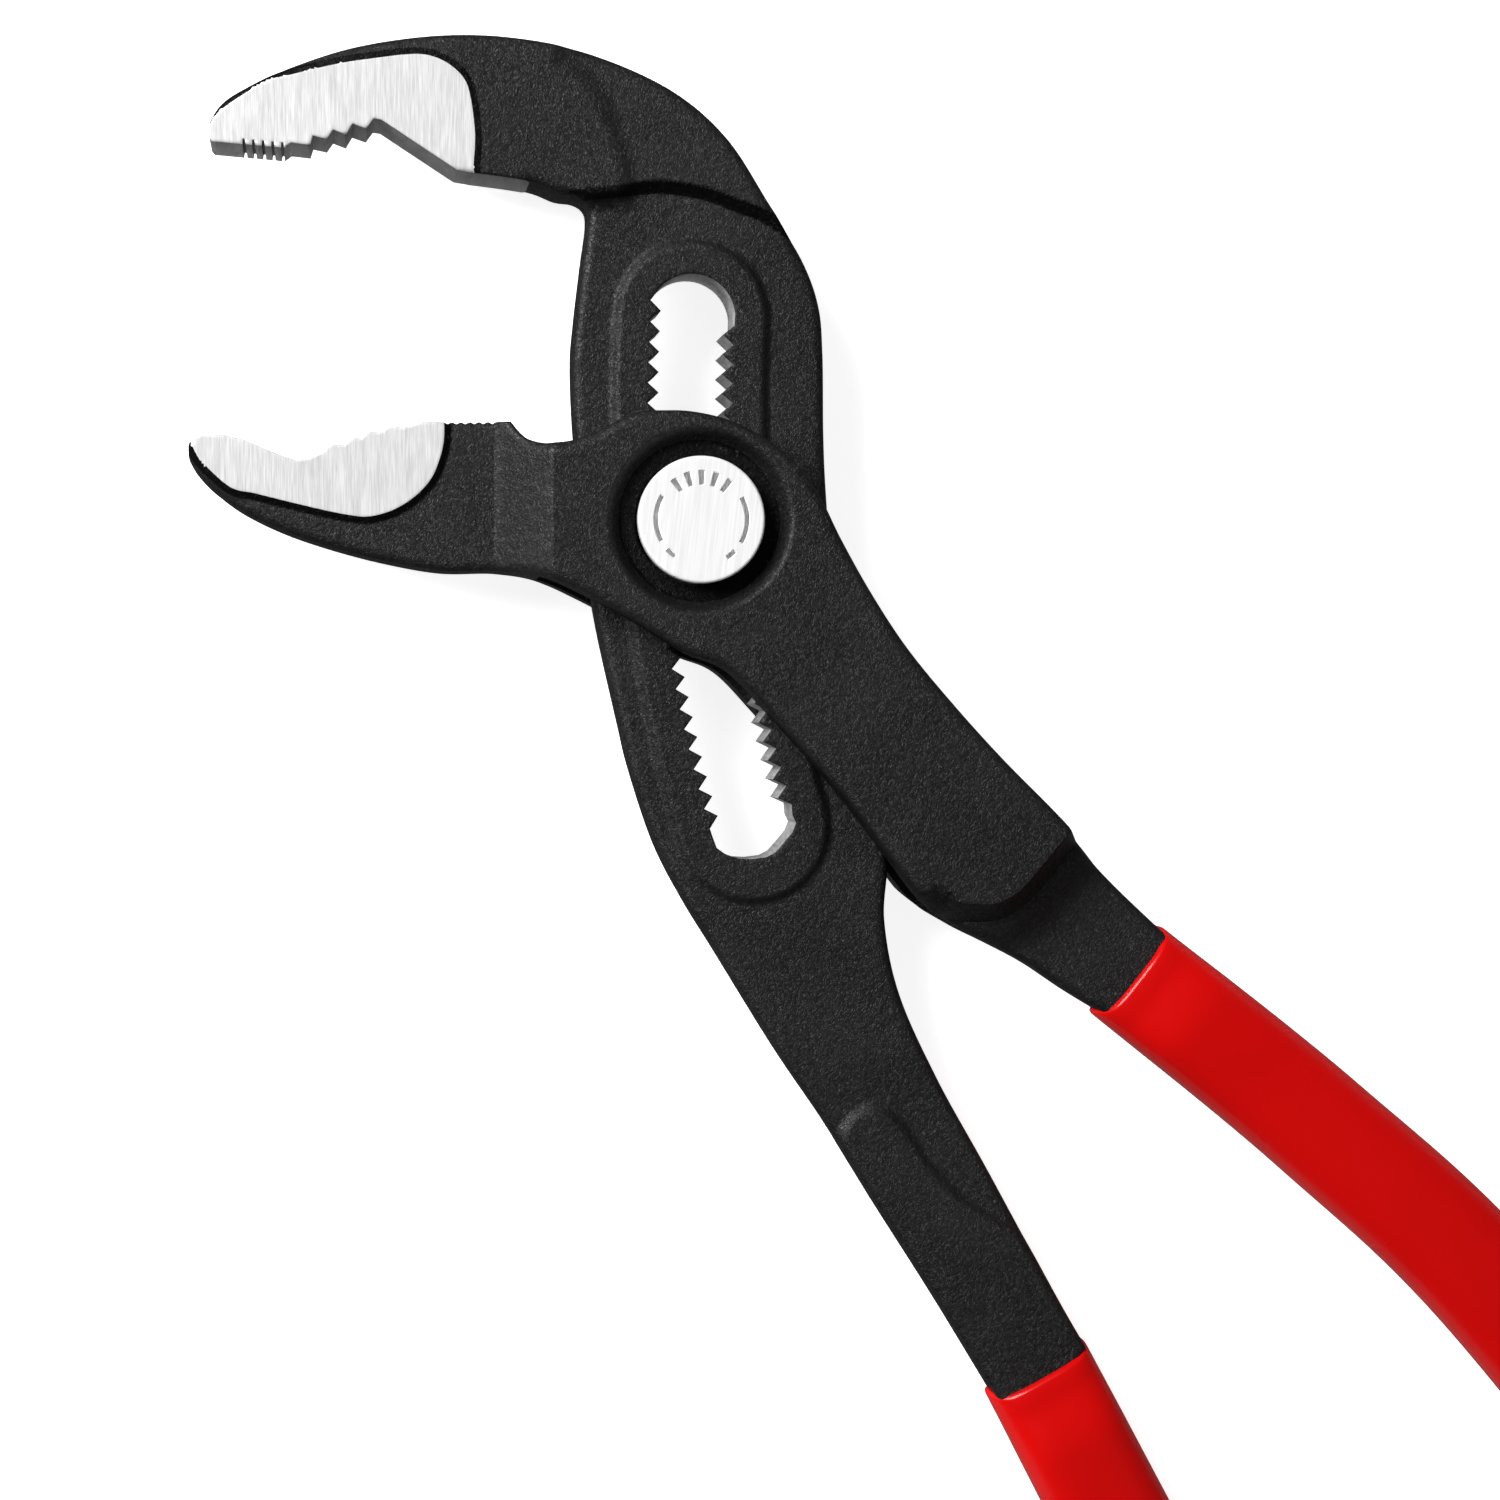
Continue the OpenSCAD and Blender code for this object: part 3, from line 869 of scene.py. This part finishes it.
# ---- slotted arm ----------------------------------------------------------
@dataclass
class SlottedArm:
    """The arm with the upper jaw, the toothed slot and its handle bar."""

    finishes: Finishes
    slot: SlotShape = field(default_factory=SlotShape)
    neck: float = 3.05
    land: float = 3.75
    head: float = 4.4
    brow: float = 4.9
    pad: float = 5.0
    bar: float = 3.5
    flank: float = 2.8
    core: float = 5.3

    BACK: Line = ((-53.2, 41.4), (-53.2, 42.8), (-51.9, 45.1), (-49.5, 46.8), (-44.2, 49.4), (-37, 51.8),
                  (-28.1, 53.2), (-19.8, 53.1), (-11.4, 51.5), (-2.7, 47.8), (3.5, 42.6), (8.3, 35.3),
                  (12, 29.5), (13.9, 24.4), (14.4, 18.9), (14.5, 10), (14.8, 3.2), (15.7, -8), (17.8, -20),
                  (20.4, -30), (21.7, -37.4), (21.4, -44.3), (23.1, -52.6), (27.4, -62.1), (33.2, -72.5),
                  (41, -86.8), (44.2, -92.3))
    THROAT: Line = ((-24.5, 38.1), (-18.4, 37.3), (-15.3, 36.2), (-13.3, 35.9), (-12.2, 35), (-11.9, 33.2),
                    (-12.5, 28.7), (-13.3, 22), (-13.6, 17.6), (-13.3, 10), (-12.3, 0), (-11, -10.1),
                    (-8.4, -22), (-7, -27.7), (-4.3, -35.7), (-1.1, -41.9), (2.6, -47.9), (9.2, -58.6),
                    (15, -67.2), (20.7, -76.4), (27.5, -87.1), (34.3, -98.3))
    BITE: Line = ((-26.4, 38.4), (-34.6, 43.7), (-35.4, 43.8), (-36.2, 42.7), (-37.7, 43.2), (-38.4, 42),
                  (-39.8, 42.5), (-40.5, 41.5), (-42, 41.8), (-42.3, 40.8), (-44.4, 41.0))
    GRIP: Line = ((39.3, -95.7), (62.8, -139.9), (88, -183.3), (111, -219.5))

    def _tip(self) -> list[tuple[float, float]]:
        """The jaw's tip edge, with its narrow cross grooves."""
        out: list[tuple[float, float]] = []
        for k in range(5):
            x, y = -45.3 - 1.04 * k, 40.45 + 0.075 * k
            out += [(x + 0.17, y), (x + 0.1, y + 0.55), (x - 0.1, y + 0.55), (x - 0.17, y)]
        return out

    def _outline(self) -> Loop:
        """The arm's outline, with the bar run on inside the grip."""
        back = spline(self.BACK)
        throat = spline(self.THROAT)
        split = int(np.argmin(np.linalg.norm(throat - (-18.4, 37.3), axis=1)))
        return Loop.of([(back, Edge.FORGED), (bar_run(self.GRIP, self.core), Edge.FORGED),
                        (throat[split:][::-1], Edge.FORGED), (throat[: split + 1][::-1], Edge.BARE),
                        (straight([*self.BITE, *self._tip(), (-52.9, 41.0)], 0.5), Edge.GROUND)])

    def _zones(self) -> list[Zone]:
        """Land, head, brow, pad and nose."""
        step = spline([(14, 31), (8.2, 34.6), (5, 35.8), (2.1, 36.9), (-0.7, 37.5), (-3.6, 37.8),
                       (-6.3, 37.6), (-9.2, 37.1), (-12, 36.8), (-14.8, 36.3), (-18, 36.4)], 0.5)
        head = np.vstack([straight([(-24, 30), (-70, 30), (-70, 70), (40, 70), (40, 31),
                                    (14, 31)], 2.0), step])
        crease = spline([(-14.4, 58), (-16.2, 50.9), (-13.6, 48.6), (-11.6, 46.5), (-10.4, 43.3),
                         (-9.1, 39.7), (-8.8, 36.9)], 0.5)
        brow = np.vstack([straight([(-70, 37), (-70, 62), (-20, 62), (-14.4, 58)], 2.0), crease[1:],
                          straight([(-8.8, 36.9), (-14.8, 36.3), (-24, 34)], 1.0)[1:]])
        pad = np.vstack([straight([(-24.6, 30), (-60, 30), (-60, 41), (-53.15, 41.4)], 1.5)[:-1],
                         spline([(-53.2, 41.2), (-53.1, 42.7), (-51.9, 44.4), (-49.1, 46.4), (-46.6, 47.8),
                                 (-44.7, 48.3), (-39.2, 49.7), (-35.1, 50.4), (-32.3, 50.8), (-30.1, 50.9),
                                 (-28.4, 50.5), (-26.8, 49.6), (-25.5, 48.2), (-24.9, 46.4), (-24.5, 43.6),
                                 (-24.4, 41.4), (-24.6, 38), (-24.6, 33)], 0.4)])
        edge = spline([(22.9, -67.6), (25.8, -72.1), (29.7, -76.1), (35.4, -79.6), (38.7, -82.7),
                       (46, -88)], 0.5)
        nose = np.vstack([spline([(60, -92), (62, -112), (44, -112), (34.6, -98.6), (26, -85.1),
                                  (17.3, -71.5), (16.9, -69.6), (17.2, -67.9), (18.6, -66.3), (20.7, -65.9),
                                  (22.9, -67.6)], 0.5)[:-1], edge])
        flank = spline([(14, -66), (24, -64), (32, -74), (42, -86), (50, -100), (46, -110), (30, -104),
                        (20, -86), (14, -66)], 0.8)[:-1]
        # painted shade: the slopes of the head's step and of the pad's border take material 4, a dark band
        return [Zone(flank, self.flank, 5.0), Zone(self.slot.band(self.slot.land), self.land, 1.2),
                Zone(head, self.head, 1.4, soft=False, shade_brink=4), Zone(brow, self.brow, 2.4),
                Zone(pad, self.pad, 0.75, soft=False, ground=True, finish=1, shade_brink=4),
                Zone(nose, self.bar, 1.4)]

    def build(self) -> bpy.types.Object:
        """Makes the arm and puts it on its body."""
        relief = Relief([self._outline(), self.slot.opening()], self._zones(), self.neck)
        piece = relief.build("slotted_arm_forging")
        f = self.finishes
        # material 4, the recess finish, is the painted shade
        dress(piece, (f.forging, f.ground, f.wall, f.rack, f.recess, f.flank))
        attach(piece, "slotted_arm")
        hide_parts("slotted_arm")
        return piece


# ---- pivot arm ------------------------------------------------------------
@dataclass
class PivotArm:
    """The arm with the lower jaw, the box joint and its handle bar."""

    finishes: Finishes
    box: float = 9.5
    jaw: float = 4.4
    pad: float = 5.0
    bar: float = 3.4
    core: float = 5.3
    cheek: float = 5.6
    fall: float = 2.2
    shoulder: float = 5.2
    recess: float = 8.55
    recess_floor: float = 7.3
    passage: float = 51.0
    gap: float = 3.2

    # Direction of the box in degrees, and the name, radius, low end and high end of each bore in mm
    BOX_ANGLE = -53
    BORES = (("button_bore", 7.1, 14.9, 25), ("bush_bore", 4.55, 10, 25), ("flange_pocket", 5.9, 2.6, 9.6),
             ("tail_bore", 2.55, -5, 8), ("tail_counterbore", 4.3, -5, 1.2))
    BACK: Line = ((-20.5, 10.9), (-19, 9.1), (-17.2, 8.4), (-15.9, 8.4), (-13.8, 8.7), (-11, 9.8),
                  (-7.1, 11.7), (-3.7, 12), (-0.8, 11.9), (2.6, 11.2), (5.5, 10), (8.2, 8.3), (10.8, 6.1),
                  (13.2, 2.8), (15.6, -2), (19, -8), (23, -14), (28, -20), (33.5, -26), (40, -32.5),
                  (47, -40), (53.8, -46.4))
    FRONT: Line = ((46.4, -54.9), (42.3, -52.4), (37.8, -49.4), (33.5, -47.1), (29.2, -44.9), (25.2, -42.2),
                   (21, -36.9), (15.2, -29.4), (8, -21.3), (3.2, -16.4), (-1.5, -14.4), (-6.9, -11.1),
                   (-12.5, -8.1), (-17.2, -6.1), (-22.2, -5.5), (-28.1, -5.5), (-34.5, -4.4), (-40.6, -2.8),
                   (-45.5, -1.1), (-49.6, 0.9), (-52.4, 2.9), (-54.2, 4.6), (-55.4, 6.4), (-55.5, 8))
    BITE: Line = ((-55, 9.2), (-51.7, 9.2), (-49.6, 8.7), (-47.2, 7.7), (-45.2, 6.9), (-43.8, 6.5),
                  (-42.4, 6.8), (-41, 7.5), (-40.3, 8.3), (-38.6, 8.2), (-38, 9.1), (-36.8, 8.9),
                  (-36.2, 9.7), (-34.8, 9.6), (-33.9, 10.3), (-32, 10.2), (-30.3, 10.8), (-27.9, 10.8))
    WINDOW: Line = ((-15.4, 30), (-15, 14), (-14.6, 8), (-14.1, 3), (-14.9, 0), (-16.9, -5), (-21, -16),
                    (-26, -40), (31, -60), (33.6, -50), (32.6, -48), (30.8, -44), (28.6, -40), (26.2, -35),
                    (24.1, -30), (22.2, -25), (19.7, -16), (17.6, -8), (16.8, -5), (16.6, -1), (22, 6),
                    (30, 12), (30, 30))
    GRIP: Line = ((50.1, -50.7), (72, -68.3), (93.6, -88.6), (125, -128), (153, -170))

    def _outline(self) -> Loop:
        """The arm's outline, with the bar run on inside the grip."""
        rear = [(-27.9, 10.8)]
        for k in range(6):
            x = -27.9 + 5.9 * (k + 0.5) / 6
            rear += [(x - 0.4, 10.8 + 0.1 * k / 6), (x, 10.6 + 0.1 * k / 6), (x + 0.4, 10.8 + 0.1 * k / 6)]
        return Loop.of([(straight(self.BITE, 0.5), Edge.GROUND),
                        (straight([*rear, (-22, 10.9), (-20.5, 10.9)], 0.5), Edge.TIGHT),
                        (spline(self.BACK), Edge.FORGED), (bar_run(self.GRIP, self.core), Edge.FORGED),
                        (spline(self.FRONT), Edge.FORGED),
                        (straight([(-55.5, 8), (-55, 9.2)], 0.4), Edge.TIGHT)])

    def _zones(self) -> list[Zone]:
        """Jaw, box, pad and the recess around the button."""
        jaw = straight([(-18, 30), (-80, 30), (-80, -30), (-18, -30), (-18, 30)], 2.0)[:-1]
        arc = spline([(52, -25), (45.5, -30.5), (41.2, -34), (37.7, -38.1), (35.3, -40.7), (32.4, -42.1),
                      (28.1, -41.8), (26.1, -40.9), (21, -44), (10, -60)], 0.5)
        box = straight([(-16.2, -90), (-16.2, 40), (200, 40), (200, -90), (-16.2, -90)], 1.0)[:-1]
        rest = straight([(8, -66), (8, -200), (200, -200), (200, -20), (60, -20)], 3.0)
        foot, heel = (np.vstack([beside(arc, by), rest]) for by in (self.fall, self.fall + 4.5))
        pad = np.vstack([straight([(-27.8, 20), (-62, 20), (-62, 8.8), (-55.3, 8.6)], 1.5)[:-1],
                         spline([(-55.2, 8.4), (-55.0, 7.8), (-54, 6.2), (-51, 3.5), (-48.2, 2.8),
                                 (-44.1, 1.8), (-40.6, 1.0), (-37.9, 0.5), (-35.9, 0.4), (-33.4, 1.1),
                                 (-31, 2.6), (-29.2, 4.6), (-28.2, 7), (-27.8, 9.1), (-27.8, 12)], 0.4)])
        # painted shade: material 4 darkens the pad's border slope and the floor of the recess round the
        # button
        return [Zone(jaw, self.jaw, 2.0), Zone(box, self.box, 6.0, soft=False),
                Zone(foot, self.shoulder, self.fall, soft=False), Zone(heel, self.bar, 4.5),
                Zone(pad, self.pad, 0.75, soft=False, ground=True, finish=1, shade_brink=4),
                Zone(circle(self.recess), self.recess_floor, 1.7, side=Side.FRONT, finish=4)]

    def build(self) -> bpy.types.Object:
        """Makes the arm, cuts its passages and puts it on its body."""
        piece = Relief([self._outline()], self._zones(), self.bar).build("pivot_arm_forging")
        turn = math.radians(self.BOX_ANGLE)
        window = np.array(self.WINDOW)
        passage = self._clipped(window, np.array([math.cos(turn), math.sin(turn)]), self.passage)
        blocks = [prism("passage", passage, self.cheek, 2 * MID - self.cheek),
                  prism("passage_end", window, MID - self.gap, MID + self.gap)]
        blocks += [prism(name, circle(radius), low, high) for name, radius, low, high in self.BORES]
        cut(piece, blocks)
        f = self.finishes
        # material 4, the recess finish, is the painted shade
        dress(piece, (f.forging, f.ground, f.wall, f.rack, f.recess, f.flank))
        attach(piece, "pivot_arm")
        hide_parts("pivot_arm")
        return piece

    @staticmethod
    def _clipped(border: np.ndarray, direction: np.ndarray, limit: float) -> np.ndarray:
        """The part of border that lies within limit either way along direction."""
        for sign in (1, -1):
            out: list[np.ndarray] = []
            for a, b in zip(border, np.roll(border, -1, axis=0)):
                da, db = limit - sign * (a @ direction), limit - sign * (b @ direction)
                if da >= 0:
                    out.append(a)
                if (da >= 0) != (db >= 0):
                    out.append(a + (b - a) * da / (da - db))
            border = np.array(out)
        return border


# ---- grips ----------------------------------------------------------------
@dataclass
class DippedGrip:
    """A dipped sleeve on a curved handle bar."""

    name: str
    body: str
    node: str
    path: Line
    finishes: Finishes
    rim_half: float = 6.3
    tail_half: float = 7.4
    thick: float = 5.6
    rim_thick: float = 4.3
    climb: float = 1.1
    facets: int = 72

    # Sections of the rolled lip and of the rounded end: mm along the path, and shares of the half sizes
    LIP = ((1.6, 0.70, 0.62), (0.35, 0.845, 0.745), (0.02, 0.9, 0.8), (-0.12, 0.94, 0.86), (0.0, 0.975, 0.93),
           (0.28, 0.995, 0.985))
    TAIL = ((0.5, 0.985), (1.0, 0.945), (1.6, 0.87), (2.2, 0.755), (2.7, 0.6), (3.05, 0.42), (3.25, 0.2))

    def _ring(self, centre: np.ndarray, side: np.ndarray, along: np.ndarray, half: float, thick: float,
              lift: float) -> np.ndarray:
        """One section of the sleeve: a soft rectangle, its sides reaching lift further up the handle."""
        turn = np.arange(self.facets) * 2 * math.pi / self.facets
        c, s = np.cos(turn), np.sin(turn)
        x = np.sign(c) * abs(c) ** 0.62 * half
        z = np.sign(s) * abs(s) ** 0.62 * thick
        up = lift * abs(c) ** 4
        flat = centre + x[:, None] * side - up[:, None] * along
        return np.column_stack([flat, MID + z])

    def build(self) -> bpy.types.Object:
        """Makes the sleeve and puts it on its body."""
        path = spline(self.path, 0.9)
        steps = np.linalg.norm(np.diff(path, axis=0), axis=1)
        length = np.concatenate([[0], np.cumsum(steps)])
        along = heading(path)
        side = left_of(along)
        rings: list[np.ndarray] = []
        for s, w, t in self.LIP:
            half, thick = self.rim_half * w, self.rim_thick * t * 1.02
            rings.append(self._ring(path[0] + along[0] * s, side[0], along[0], half, thick, self.climb))
        for i in range(1, len(path)):
            share = length[i] / length[-1]
            grow = float(smooth(np.array([length[i] / 9.0]))[0])
            half = self.rim_half + (self.tail_half - self.rim_half) * share
            thick = self.rim_thick + (self.thick - self.rim_thick) * grow
            bead = 0.12 * math.exp(-(((length[i] - 1.3) / 1.0) ** 2))
            lift = self.climb * max(0.0, 1 - length[i] / 5.0)
            rings.append(self._ring(path[i], side[i], along[i], half, thick + bead, lift))
        for s, w in self.TAIL:
            half, thick = self.tail_half * w, self.thick * w
            rings.append(self._ring(path[-1] + along[-1] * s, side[-1], along[-1], half, thick, 0.0))
        piece = rings_mesh(self.name, rings)
        dress(piece, (self.finishes.vinyl,), 60)
        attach(piece, self.body)
        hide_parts(self.node)
        return piece


# ---- pivot set ------------------------------------------------------------
@dataclass
class PivotSet:
    """The push button, its spring, and the bolt, bush and ring of the box joint."""

    finishes: Finishes
    button_r: float = 6.95
    hollow_r: float = 6.4
    boss_r: float = 2.9
    button_low: float = 18.0
    button_high: float = 20.0
    wire: float = 0.32
    spring_low: float = 15.2
    spring_high: float = 18.92
    coils: float = 4.5

    @staticmethod
    def _arc(radius: float, width: float, start: float, end: float) -> np.ndarray:
        """A closed band of a ring, from start to end in degrees."""
        turns = np.radians(np.linspace(start, end, max(4, int(abs(end - start) / 4))))
        rim, bore = radius + width / 2, radius - width / 2
        outer = [(rim * math.cos(t), rim * math.sin(t)) for t in turns]
        inner = [(bore * math.cos(t), bore * math.sin(t)) for t in turns[::-1]]
        return straight([*outer, *inner, outer[0]], 0.25)[:-1]

    def _mark(self, radius: float, width: float, start: float, end: float) -> Zone:
        """One engraved mark on the button's front."""
        return Zone(self._arc(radius, width, start, end), 0.86, 0.12, soft=False, side=Side.FRONT, finish=1)

    def button(self) -> bpy.types.Object:
        """The round button, with two engraved rows of plain marks."""
        zones = [self._mark(5.0, 0.42, a, b) for a, b in ((150, 208), (222, 234), (-30, 28), (-56, -44))]
        zones += [self._mark(4.55, 1.5, a - 3.2, a + 3.2) for a in (54, 72, 90, 108, 126)]
        zones += [Zone(circle(radius, 0.4), level, 0.3, soft=False, side=Side.BACK)
                  for radius, level in ((self.hollow_r, 0.05), (self.boss_r, 1.0))]
        border = circle(self.button_r, 0.4)
        loop = Loop(border, [Edge.BARE] * len(border))
        middle = (self.button_low + self.button_high) / 2
        piece = Relief([loop], zones, self.button_high - middle, grid=0.5, mid=middle).build("button_cap")
        dress(piece, (self.finishes.button, self.finishes.turned, self.finishes.button))
        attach(piece, "button_bolt")
        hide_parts("push_button")
        return piece

    def spring(self) -> bpy.types.Object:
        """The conical coil under the button, built at one height and put on the carrier's body."""
        count = int(self.coils * 40)
        rings: list[np.ndarray] = []
        for i in range(count + 1):
            t = i / count
            a = 2 * math.pi * self.coils * t
            r = 5.45 - 1.5 * t
            z = self.spring_low + self.wire + (self.spring_high - self.spring_low - 2 * self.wire) * t
            c = np.array([r * math.cos(a), r * math.sin(a), z])
            out = np.array([math.cos(a), math.sin(a), 0.0])
            rings.append(np.array([c + self.wire * (out * math.cos(b) + np.array([0, 0, 1]) * math.sin(b))
                                   for b in np.arange(14) * 2 * math.pi / 14]))
        piece = rings_mesh("conical_coil", rings)
        dress(piece, (self.finishes.spring,), 60)
        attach(piece, "carrier")
        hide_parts("button_spring")
        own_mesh(piece)
        return piece

    def refinish(self) -> None:
        """Gives the bolt, bush and ring of the frame their own steel."""
        f = self.finishes
        pieces = (("hinge_bolt", f.turned), ("front_bush", f.turned), ("retaining_ring", f.spring))
        for node, material in pieces:
            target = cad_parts[node]
            if not target.material_slots:
                target.data.materials.append(material)
            for one in target.material_slots:
                one.material = material

    def build(self) -> list[bpy.types.Object]:
        """Makes the button and the coil, and refinishes the rest."""
        self.refinish()
        return [self.button(), self.spring()]


# ---- studio ---------------------------------------------------------------
@dataclass
class Studio:
    """Pale floor, soft lights and the camera."""

    eye: tuple[float, float, float] = (-0.040544, -0.02184, 0.4095)
    target: tuple[float, float, float] = (0.006496, -0.0252, 0.0095)
    lens: float = 86.308
    floor_half: float = 3000.0
    floor_z: float = -0.2
    floor_tone: float = 0.9
    floor_glow: float = 0.84
    world_tone: float = 0.1

    def camera(self) -> None:
        """Sets the camera, with its up direction square to its sight line and close to +Y."""
        data = bpy.data.cameras.new("camera")
        data.lens, data.sensor_width, data.clip_start = self.lens, 36.0, 0.01
        eye, ahead = Vector(self.eye), (Vector(self.target) - Vector(self.eye)).normalized()
        right = ahead.cross(Vector((0, 1, 0))).normalized()
        up = right.cross(ahead)
        turn = Matrix((right, up, -ahead)).transposed().to_4x4()
        obj = bpy.data.objects.new("camera", data)
        obj.matrix_world = Matrix.Translation(eye) @ turn
        bpy.context.scene.collection.objects.link(obj)
        bpy.context.scene.camera = obj

    def _panel(self, name: str, place: tuple[float, float, float], size: float, power: float) -> None:
        """One soft square light that faces the pliers."""
        data = bpy.data.lights.new(name, "AREA")
        data.size, data.energy = size, power
        obj = bpy.data.objects.new(name, data)
        obj.location = place
        obj.rotation_euler = (Vector((0.03, -0.05, 0)) - Vector(place)).to_track_quat("-Z", "Y").to_euler()
        obj.visible_camera = False
        bpy.context.scene.collection.objects.link(obj)

    def lights(self) -> None:
        """A key from the upper left, a weak fill from the lower right and an even sky."""
        self._panel("key", (-0.52, 0.34, 0.56), 0.45, 12.5)
        self._panel("fill", (0.8, -0.7, 0.9), 0.8, 1.0)
        world = bpy.data.worlds.new("studio")
        world.use_nodes = True
        ground = world.node_tree.nodes["Background"]
        ground.inputs[0].default_value = (1, 1, 1, 1)
        ground.inputs[1].default_value = self.world_tone
        bpy.context.scene.world = world
        bpy.context.scene.view_settings.view_transform = "Standard"

    def floor(self) -> None:
        """The plain pale floor that the box joint lies on."""
        half = self.floor_half
        corners = ((-half, -half), (half, -half), (half, half), (-half, half))
        verts = np.array([(x, y, self.floor_z) for x, y in corners])
        obj = new_piece("floor", verts, [[0, 1, 2, 3]])
        new_material("floor", Base_Color=(*grey(self.floor_tone), 1), Roughness=0.9, Specular_IOR_Level=0.0,
                     Emission_Color=(1, 1, 1, 1), Emission_Strength=self.floor_glow)
        obj.data.materials.append(bpy.data.materials["floor"])
        obj.visible_glossy = False

    def build(self) -> None:
        """Sets camera, lights and floor."""
        self.camera()
        self.lights()
        self.floor()


def main() -> None:
    """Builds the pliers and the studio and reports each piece."""
    logging.basicConfig(level=logging.INFO, format="%(name)s: %(message)s")
    Studio().build()
    finishes = Finishes()
    slotted = SlottedArm(finishes)
    pivot = PivotArm(finishes)
    made = [slotted.build(), pivot.build(),
            DippedGrip("slotted_sleeve", "slotted_arm", "slotted_arm_grip", slotted.GRIP, finishes).build(),
            DippedGrip("pivot_sleeve", "pivot_arm", "pivot_arm_grip", pivot.GRIP, finishes,
                       tail_half=7.6).build(),
            *PivotSet(finishes).build()]
    for piece in made:
        LOG.info("%s: %d faces", piece.name, len(piece.data.polygons))


if __name__ == "__main__":
    main()
